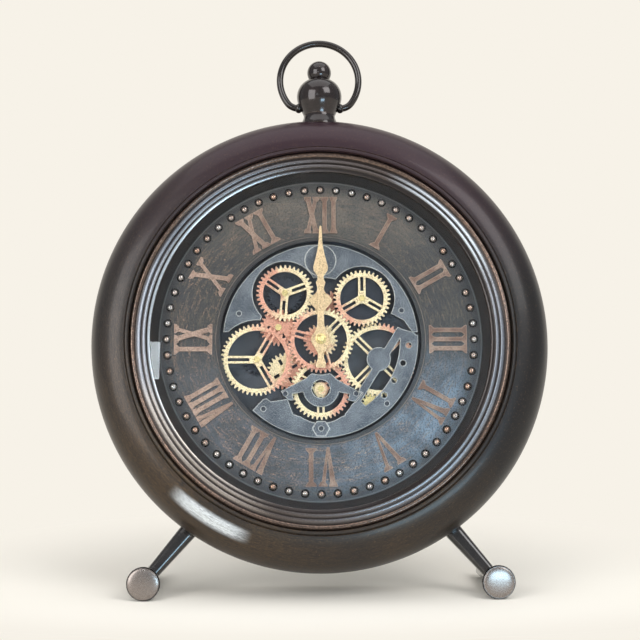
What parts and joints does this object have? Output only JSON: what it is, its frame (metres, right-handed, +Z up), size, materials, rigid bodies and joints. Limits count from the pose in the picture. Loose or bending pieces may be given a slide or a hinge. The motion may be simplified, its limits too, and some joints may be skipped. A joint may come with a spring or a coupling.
{
  "type": "table clock",
  "caption": "Pocket-watch-shaped table clock on two feet, with a swinging bow, spade hands and an open train of meshed wheels in the dial.",
  "frame": {"origin": "on the table, at the middle of the clock's bounding box", "axes": "+Z up, -Y towards the reader, +X to the reader's right; the dial leans back 10 degrees"},
  "size_m": [0.27, 0.1002, 0.3319],
  "materials": {
    "case_bronze": "dark bronze, brushed by hand, worn brown on the ridges",
    "crown_black": "glossy black-brown",
    "leg_black": "gloss black",
    "foot_cap": "satin grey-brown over metal",
    "glass": "clear flat glass",
    "rehaut_black": "satin black",
    "dial_metal": "gunmetal with a brown brushed patina",
    "screw_steel": "zinc-plated steel",
    "screw_dark": "blackened steel",
    "cover_black": "satin black",
    "tray_plastic": "black moulded plastic",
    "plate_blue": "dark blue-grey satin, speckled",
    "post_steel": "turned steel",
    "brass": "polished brass",
    "gear_gold": "pale gold plate, satin",
    "gear_rose": "rose gold plate, satin",
    "hand_gold": "gold, satin",
    "motor_steel": "drawn steel can",
    "cell_jacket": "plain printed jacket over a steel can",
    "switch_plastic": "black plastic",
    "movement_plastic": "black moulded plastic"
  },
  "bodies": {
    "case": {"case_shell": "case_bronze", "bezel_ring": "case_bronze", "glass_lens": "glass", "rehaut_ring": "rehaut_black", "dial_plate": "dial_metal", "dial_brackets": "case_bronze", "dial_screws": "screw_steel", "back_cover": "cover_black", "cover_screws": "screw_steel", "crown_neck": "case_bronze", "crown_knob": "crown_black", "leg_left": "leg_black", "leg_right": "leg_black", "foot_rod_left": "leg_black", "foot_rod_right": "leg_black", "foot_cap_left": "foot_cap", "foot_cap_right": "foot_cap", "gear_tray": "tray_plastic", "tray_screws": "screw_steel", "upper_plate": "plate_blue", "lower_plate": "plate_blue", "kite_bridge": "plate_blue", "plate_pillars": "post_steel", "plate_screws": "screw_dark", "gear_posts": "post_steel", "post_screws": "brass", "gear_motor": "motor_steel", "drive_housing": "tray_plastic", "drive_cells": "cell_jacket", "switch_body": "switch_plastic", "hand_bush": "brass", "bush_nut": "brass", "centre_collar": "brass", "movement_housing": "movement_plastic", "clock_cell": "cell_jacket"},
    "bow": {"bow_ring": "crown_black"},
    "minute_hand": {"minute_hand": "hand_gold", "minute_arbor": "brass", "hand_cap": "brass"},
    "hour_hand": {"hour_hand": "hand_gold", "hour_pipe": "brass"},
    "setting_knob": {"setting_knob": "movement_plastic"},
    "centre_wheel": {"centre_wheel": "gear_gold"},
    "left_wheel": {"left_wheel": "gear_gold"},
    "left_idler": {"left_idler": "gear_gold"},
    "right_wheel": {"right_wheel": "gear_gold"},
    "right_idler": {"right_idler": "gear_gold"},
    "large_wheel": {"large_wheel": "gear_rose"},
    "large_idler": {"large_idler": "gear_gold"},
    "four_arm_wheel": {"four_arm_wheel": "gear_gold"},
    "lower_wheel": {"lower_wheel": "gear_rose"},
    "drive_pinion": {"drive_pinion": "brass"},
    "switch_lever": {"switch_lever": "switch_plastic"}
  },
  "joints": [
    {"name": "bow_swing", "type": "hinge", "parent": "case", "child": "bow", "pos_m": [0, 0.01677, 0.289], "axis": [1, 0, 0], "range_deg": [-95, 95]},
    {"name": "minute_turn", "type": "hinge", "parent": "case", "child": "minute_hand", "pos_m": [0, -0.01809, 0.14892], "axis": [0, 0.9848, -0.1736], "continuous": true},
    {"name": "hour_turn", "type": "hinge", "parent": "case", "child": "hour_hand", "pos_m": [0, -0.01809, 0.14892], "axis": [0, 0.9848, -0.1736], "continuous": true},
    {"name": "setting_knob_turn", "type": "hinge", "parent": "case", "child": "setting_knob", "pos_m": [0.013, -0.01617, 0.15975], "axis": [0, 0.9848, -0.1736], "continuous": true},
    {"name": "centre_wheel_turn", "type": "hinge", "parent": "case", "child": "centre_wheel", "pos_m": [0, -0.01809, 0.14892], "axis": [0, 0.9848, -0.1736], "continuous": true},
    {"name": "left_wheel_turn", "type": "hinge", "parent": "case", "child": "left_wheel", "pos_m": [-0.02097, -0.01325, 0.17633], "axis": [0, 0.9848, -0.1736], "continuous": true},
    {"name": "left_idler_turn", "type": "hinge", "parent": "case", "child": "left_idler", "pos_m": [-0.02487, -0.01673, 0.15661], "axis": [0, 0.9848, -0.1736], "continuous": true},
    {"name": "right_wheel_turn", "type": "hinge", "parent": "case", "child": "right_wheel", "pos_m": [0.02447, -0.01378, 0.17336], "axis": [0, 0.9848, -0.1736], "continuous": true},
    {"name": "right_idler_turn", "type": "hinge", "parent": "case", "child": "right_idler", "pos_m": [0.00974, -0.01414, 0.17132], "axis": [0, 0.9848, -0.1736], "continuous": true},
    {"name": "large_wheel_turn", "type": "hinge", "parent": "case", "child": "large_wheel", "pos_m": [-0.03733, -0.0201, 0.13747], "axis": [0, 0.9848, -0.1736], "continuous": true},
    {"name": "large_idler_turn", "type": "hinge", "parent": "case", "child": "large_idler", "pos_m": [-0.02051, -0.02114, 0.13157], "axis": [0, 0.9848, -0.1736], "continuous": true},
    {"name": "four_arm_wheel_turn", "type": "hinge", "parent": "case", "child": "four_arm_wheel", "pos_m": [0.03402, -0.02005, 0.13775], "axis": [0, 0.9848, -0.1736], "continuous": true},
    {"name": "lower_wheel_turn", "type": "hinge", "parent": "case", "child": "lower_wheel", "pos_m": [0, -0.02309, 0.12054], "axis": [0, 0.9848, -0.1736], "continuous": true},
    {"name": "drive_pinion_turn", "type": "hinge", "parent": "case", "child": "drive_pinion", "pos_m": [0.02864, -0.02438, 0.1132], "axis": [0, 0.9848, -0.1736], "continuous": true},
    {"name": "switch_slide", "type": "slide", "parent": "case", "child": "switch_lever", "axis": [1, 0, 0], "range_m": [0, 0.003]}
  ],
  "couplings": [
    {"joint": "hour_turn", "follows": "minute_turn", "ratio": 0.083333},
    {"joint": "setting_knob_turn", "follows": "minute_turn", "ratio": -3},
    {"joint": "left_wheel_turn", "follows": "centre_wheel_turn", "ratio": -1.1579},
    {"joint": "left_idler_turn", "follows": "centre_wheel_turn", "ratio": 1.1579},
    {"joint": "right_wheel_turn", "follows": "centre_wheel_turn", "ratio": -1.1579},
    {"joint": "right_idler_turn", "follows": "centre_wheel_turn", "ratio": 1.0936},
    {"joint": "large_wheel_turn", "follows": "centre_wheel_turn", "ratio": -0.91667},
    {"joint": "large_idler_turn", "follows": "centre_wheel_turn", "ratio": 0.6875},
    {"joint": "four_arm_wheel_turn", "follows": "centre_wheel_turn", "ratio": 0.88},
    {"joint": "lower_wheel_turn", "follows": "centre_wheel_turn", "ratio": -1.1},
    {"joint": "drive_pinion_turn", "follows": "centre_wheel_turn", "ratio": -4.4}
  ]
}
